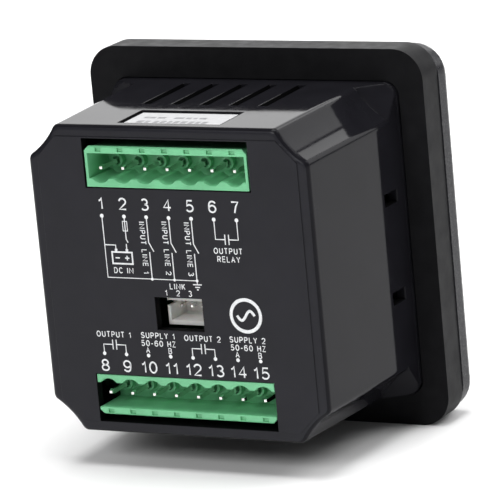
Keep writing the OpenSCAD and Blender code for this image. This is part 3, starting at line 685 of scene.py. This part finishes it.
def lettering(words, height, pen, broad=1.0, apart=0.22):
    """Words in ink; each word is (text, u, v, turn), centred on (u, v)."""
    tall = height - pen
    gap = apart * tall + pen
    paths = []
    for text, u, v, turn in words:
        total = sum(CHARACTER_WIDTH[sign] * tall * broad for sign in text) + gap * (len(text) - 1)
        x = -total / 2
        for sign in text:
            for path in CHARACTERS[sign]:
                flat = [(x + px * tall * broad, (py - 0.5) * tall) for px, py in path]
                paths.append([
                    (
                        u + a * math.cos(turn) - b * math.sin(turn),
                        v + a * math.sin(turn) + b * math.cos(turn),
                    )
                    for a, b in flat
                ])
            x += CHARACTER_WIDTH[sign] * tall * broad + gap
    return strokes(paths, pen)


# Print on the back
# Places are (u, v): u to the right as seen from behind, v up, both from the middle of the case.


def row_of(count, centre):
    """The places of the dots of one terminal row."""
    return [centre + (i - (count - 1) / 2) * PRINT_PITCH for i in range(count)]


def row_numbers(us, first, level, broad, apart=0.22):
    """The numbers of a terminal row, a hair to the left of its dots."""
    shift = 0.08 * MM
    numbers = [(str(first + i), u - shift, level, 0.0) for i, u in enumerate(us)]
    return lettering(numbers, NUMBER_HEIGHT, NUMBER_PEN, broad, apart)


def contact_symbol(left, right, level, dots_at):
    """Two plates between two terminals, each joined to its dot."""
    centre = (left + right) / 2
    plate, gap = 1.05 * MM, 0.42 * MM
    return [
        [(left, dots_at), (left, level), (centre - gap, level)],
        [(right, dots_at), (right, level), (centre + gap, level)],
        [(centre - gap, level - plate), (centre - gap, level + plate)],
        [(centre + gap, level - plate), (centre + gap, level + plate)],
    ]


def switch_symbol(u, dots_at, bus):
    """An open contact between a terminal and the common line."""
    hinge, tip, lead = 8.4 * MM, 6.5 * MM, 6.4 * MM
    swing = 1.0 * MM
    return [[(u, dots_at), (u, hinge), (u + swing, tip)], [(u, lead), (u, bus)]]


def fuse_symbol(u, dots_at):
    """A fuse in its line, which ends above the battery."""
    half, low, high = 0.5 * MM, 10.6 * MM, 12.6 * MM
    bend, tip, swing = 8.9 * MM, 8.2 * MM, 0.35 * MM
    return [
        [(u, dots_at), (u, bend), (u + swing, tip)],
        [(u - half, low), (u + half, low), (u + half, high), (u - half, high), (u - half, low)],
    ]


def battery_leads(left, right):
    """The lines from the common line and from the fuse to the battery's posts."""
    post_u, post_v = -13.2 * MM, 6.3 * MM
    left_v, right_v = 7.6 * MM, 7.9 * MM
    right_u = right - 0.1 * MM
    return [
        [(left, left_v), (post_u, left_v), (post_u, post_v)],
        [(right_u, right_v), (right_u, post_v)],
    ]


def earth_symbol(u):
    """Three lines, one below the other and each shorter than the last."""
    return [
        [(u - half * MM, level * MM), (u + half * MM, level * MM)]
        for level, half in ((0.0, 1.0), (-0.55, 0.55), (-1.05, 0.2))
    ]


def battery():
    """A battery with its posts, and its two signs in a finer line."""
    body = mm((-14.2, 3.75), (-9.6, 3.75), (-9.6, 6.15), (-14.2, 6.15), (-14.2, 3.75))
    posts = [mm((-13.5, 6.6), (-12.9, 6.6)), mm((-11.0, 6.6), (-10.4, 6.6))]
    minus = mm((-13.5, 4.95), (-12.5, 4.95))
    plus = [mm((-11.3, 4.95), (-10.3, 4.95)), mm((-10.8, 4.45), (-10.8, 5.45))]
    return [strokes([body] + posts, width=0.5 * MM), strokes([minus] + plus, width=0.28 * MM)]


def upper_print():
    """Numbers 1 to 7, their dots and the wiring symbols under them."""
    numbers_at, dots_at, contacts_at, bus = 16.2 * MM, 13.6 * MM, 9.55 * MM, 0.8 * MM
    us = row_of(7, UPPER_ROW_U)
    common, fused, earthed = us[0], us[1], us[4]
    switched = us[2:5]
    ink = [row_numbers(us, 1, numbers_at, broad=1.1)]
    ink += [dot(u, dots_at, 0.42 * MM) for u in us]
    ink += [dot(u, bus, 0.32 * MM) for u in switched]
    thin = [[(common, dots_at), (common, bus), (earthed, bus), (earthed, 0.0)]]
    for u in switched:
        thin += switch_symbol(u, dots_at, bus)
    thin += fuse_symbol(fused, dots_at) + battery_leads(common, fused) + earth_symbol(earthed)
    thin += contact_symbol(us[5], us[6], contacts_at, dots_at)
    ink.append(strokes(thin, LINE_PEN))
    ink += battery()
    words = [
        (f"INPUT LINE {i + 1}", u - 1.2 * MM, 7.3 * MM, -math.pi / 2)
        for i, u in enumerate(switched)
    ]
    out_u = (us[5] + us[6]) / 2
    words += [
        ("DC IN", -11.9 * MM, 2.35 * MM, 0.0),
        ("OUTPUT", out_u, 7.2 * MM, 0.0),
        ("RELAY", out_u, 5.5 * MM, 0.0),
    ]
    ink.append(lettering(words, WORD_HEIGHT, WORD_PEN))
    return ink


def lower_print():
    """Numbers 8 to 15, their dots, symbols and captions, and the marks over the socket."""
    numbers_at, dots_at, contacts_at = -17.8 * MM, -15.3 * MM, -13.35 * MM
    us = row_of(8, LOWER_ROW_U)
    ink = [row_numbers(us, 8, numbers_at, broad=1.13, apart=0.3)]
    ink += [dot(u, dots_at, 0.4 * MM) for u in us]
    thin = contact_symbol(us[0], us[1], contacts_at, dots_at)
    thin += contact_symbol(us[4], us[5], contacts_at, dots_at)
    ink.append(strokes(thin, LINE_PEN))
    words = []
    for word, left, right in (("OUTPUT 1", us[0], us[1]), ("OUTPUT 2", us[4], us[5])):
        words.append((word, (left + right) / 2, -11.2 * MM, 0.0))
    for word, left, right in (("SUPPLY 1", us[2], us[3]), ("SUPPLY 2", us[6], us[7])):
        centre, letters_at = (left + right) / 2, -14.15 * MM
        words += [(word, centre, -11.05 * MM, 0.0), ("50-60 HZ", centre, -12.7 * MM, 0.0)]
        words += [("A", left, letters_at, 0.0), ("B", right, letters_at, 0.0)]
    words.append(("LINK", 0.15 * MM, -0.55 * MM, 0.0))
    words += [(word, u * MM, -1.95 * MM, 0.0) for word, u in (("1", -2.6), ("2", 0.15), ("3", 2.9))]
    ink.append(lettering(words, WORD_HEIGHT, WORD_PEN))
    return ink


def source_symbol(u, v, radius):
    """A round source sign with one wave in it."""
    steps, half_width, height = 24, radius * 0.6, radius * 0.3
    wave = []
    for k in range(steps + 1):
        t = k / steps * 2 - 1
        wave.append((u + t * half_width, v + height * math.sin(t * math.pi)))
    rim = ring(u, v, radius, steps=48)
    return [strokes([rim], width=0.75 * MM), strokes([wave], width=0.6 * MM)]


def back_print():
    ink = upper_print() + lower_print() + source_symbol(15.1 * MM, -6.0 * MM, 3.3 * MM)
    print_on_back = join_pieces("back_print", ink)
    on_wall(print_on_back, BACK_Y, True)
    dress(print_on_back, white_ink)


# Print on the sticker


def sticker_print():
    """Two rows of plain bars where a sticker has its lines of type, on the leaning sticker."""
    low, high = LABEL
    lean = math.atan2(low[Z] - high[Z] + LABEL_T, high[Y] - low[Y])
    start, gap = -8.6, 0.5
    # Offset and height of each row, and the lengths of its bars, 0 for a space, in millimetres
    rows = (
        (0.7, 1.1, (2.6, 1.8, 0, 0, 0, 2.2, 1.2, 0.8, 1.6)),
        (-2.6, 1.6, (1.5, 0.9, 0, 1.1, 1.1, 0.9, 1.1, 1.3, 1.1, 0.9, 1.1)),
    )
    pieces = []
    for offset, height, lengths in rows:
        u = start
        bars = []
        for length in lengths:
            if length:
                bars.append(mm((u, offset), (u + length, offset)))
            u += length + gap
        pieces.append(strokes(bars, height * MM))
    bars = join_pieces("sticker_bars", pieces)
    centre = Vector([middle(LABEL, axis) for axis in (X, Y, Z)])
    turn = Matrix.Rotation(lean, 4, "X")
    above = turn @ Vector((0, 0, LABEL_T / 2))
    to_the_back = Matrix.Rotation(math.pi, 4, "Z")
    bars.matrix_world = Matrix.Translation(centre + above) @ turn @ to_the_back
    settle(bars)
    dress(bars, sticker_ink)


# Print on the face and on the keys


def face_print():
    """A supply diagram through the lamps, frames round window and keys, and plain captions."""
    side, corner = FILM_HIGH[X] - FILM_LOW[X] - 2.4 * MM, 2.2 * MM
    lamp_ring = 2.35 * MM
    box_top, box_at, caption_at = LAMP_Z - 4.6 * MM, LAMP_Z - 5.8 * MM, LAMP_Z - 8.7 * MM
    inwards = 1.6 * MM
    border = [
        round_frame(side, side, corner),
        round_frame(46.5 * MM, 24.5 * MM, corner, 0.0, WINDOW_Z),
    ]
    thin = [ring(x, LAMP_Z, lamp_ring) for x in LAMP_XS]
    for x, following in zip(LAMP_XS, LAMP_XS[1:]):
        thin.append([(x + lamp_ring, LAMP_Z), (following - lamp_ring, LAMP_Z)])
    for x in LAMP_XS[::2]:
        thin.append([(x, LAMP_Z - lamp_ring), (x, box_top)])
        thin.append(round_frame(3.4 * MM, 2.4 * MM, 0.3 * MM, x, box_at))
    for x in KEY_XS:
        thin.append(round_frame(13.4 * MM, 9.4 * MM, 2.9 * MM, x, KEY_Z))
    words = [
        ("SUPPLY 1", LAMP_XS[0] + inwards, caption_at, 0.0),
        ("LOAD", LAMP_XS[2], caption_at, 0.0),
        ("SUPPLY 2", LAMP_XS[4] - inwards, caption_at, 0.0),
    ]
    numbers = [(str(i + 1), x, KEY_Z - 6.7 * MM, 0.0) for i, x in enumerate(KEY_XS)]
    captions = [
        lettering(words, height=1.5 * MM, pen=0.24 * MM),
        lettering(numbers, height=1.9 * MM, pen=0.28 * MM),
    ]
    lines = [strokes(border, width=0.35 * MM), strokes(thin, width=0.3 * MM)]
    face = join_pieces("face_print", lines + captions)
    on_wall(face, FACE_Y, False)
    dress(face, white_ink)


def key_marks():
    """Signs on the keys: up, down, enter and stop."""
    size = 1.25 * MM
    base, tip = size * 0.7, size * 0.9
    foot = size * 0.8
    signs = (
        [[(-size, -base), (size, -base), (0.0, tip), (-size, -base)]],
        [[(-size, base), (size, base), (0.0, -tip), (-size, base)]],
        [[(-size, 0.0), (-size * 0.3, -foot), (size, foot)]],
        [ring(0.0, 0.0, size)],
    )
    for i, (x, paths) in enumerate(zip(KEY_XS, signs)):
        moved = [[(x + px, KEY_Z + py) for px, py in path] for path in paths]
        mark = strokes(moved, width=0.38 * MM)
        mark.name = f"key_mark_{i + 1}"
        on_wall(mark, KEY_Y, False)
        dress(mark, white_ink, f"key_{i + 1}")


back_print()
sticker_print()
face_print()
key_marks()


# Studio

# Name, azimuth and elevation in degrees, distance and side in metres, power in watts
SOFTBOXES = (
    ("overhead_softbox", 180, 88, 1.2, 0.8, 15.5),
    ("backdrop_softbox", 28, 15, 1.5, 0.95, 5.4),
    ("camera_softbox", 172, 34, 1.5, 0.55, 8.8),
    ("side_softbox", 287, 53, 1.5, 0.6, 6.5),
    ("wall_softbox", 323, 26, 1.5, 1.0, 6.7),
    ("window_softbox", 357, 34, 1.5, 0.45, 2.3),
)


def direction(azimuth, elevation):
    """The unit vector from the object towards an azimuth and elevation in degrees."""
    a, e = math.radians(azimuth), math.radians(elevation)
    return Vector((math.sin(a) * math.cos(e), -math.cos(a) * math.cos(e), math.sin(e)))


def floor_and_world():
    """A pale paper floor at the foot of the gasket, under a faint white sky."""
    bpy.ops.mesh.primitive_plane_add(size=6.0, location=(0, 0, FLOOR_Z))
    floor = bpy.context.object
    floor.name = "floor"
    paper, shader, place = plain_material("floor_paper", (0.9, 0.9, 0.9), 0.8)
    tint(paper, shader, noise(paper, place, 6.0), (0.89, 0.89, 0.89), (0.91, 0.91, 0.91))
    floor.data.materials.append(paper)
    world = bpy.data.worlds.new("studio_white")
    world.use_nodes = True
    sky = world.node_tree.nodes["Background"]
    sky.inputs["Color"].default_value = (1.0, 1.0, 1.0, 1)
    sky.inputs["Strength"].default_value = 0.18
    bpy.context.scene.world = world


def soft_light(name, azimuth, elevation, distance, side, power):
    """A square area light that faces the object from the given direction."""
    place = direction(azimuth, elevation) * distance
    data = bpy.data.lights.new(name, "AREA")
    data.shape = "RECTANGLE"
    data.size = side
    data.size_y = side
    data.energy = power
    light = bpy.data.objects.new(name, data)
    light.location = place
    light.rotation_mode = "QUATERNION"
    light.rotation_quaternion = (-place).to_track_quat("-Z", "Y")
    bpy.context.scene.collection.objects.link(light)


def camera():
    """The photograph's view: a long lens from behind and a little above."""
    azimuth, elevation, roll = 208.811, 13.844, -5.316
    target = Vector((0.0030855, 0.00250135, -0.00285976))
    distance = 0.84937
    back = direction(azimuth, elevation)
    data = bpy.data.cameras.new("photo_camera")
    data.lens = 293.33
    data.sensor_width = 36.0
    data.clip_start = 0.05
    data.clip_end = 20.0
    view = bpy.data.objects.new("photo_camera", data)
    view.location = target + back * distance
    view.rotation_mode = "QUATERNION"
    rolled = Quaternion((0, 0, 1), math.radians(roll))
    view.rotation_quaternion = (-back).to_track_quat("-Z", "Y") @ rolled
    bpy.context.scene.collection.objects.link(view)
    bpy.context.scene.camera = view


bpy.context.scene.view_settings.view_transform = "Standard"
floor_and_world()
for softbox in SOFTBOXES:
    soft_light(*softbox)
camera()
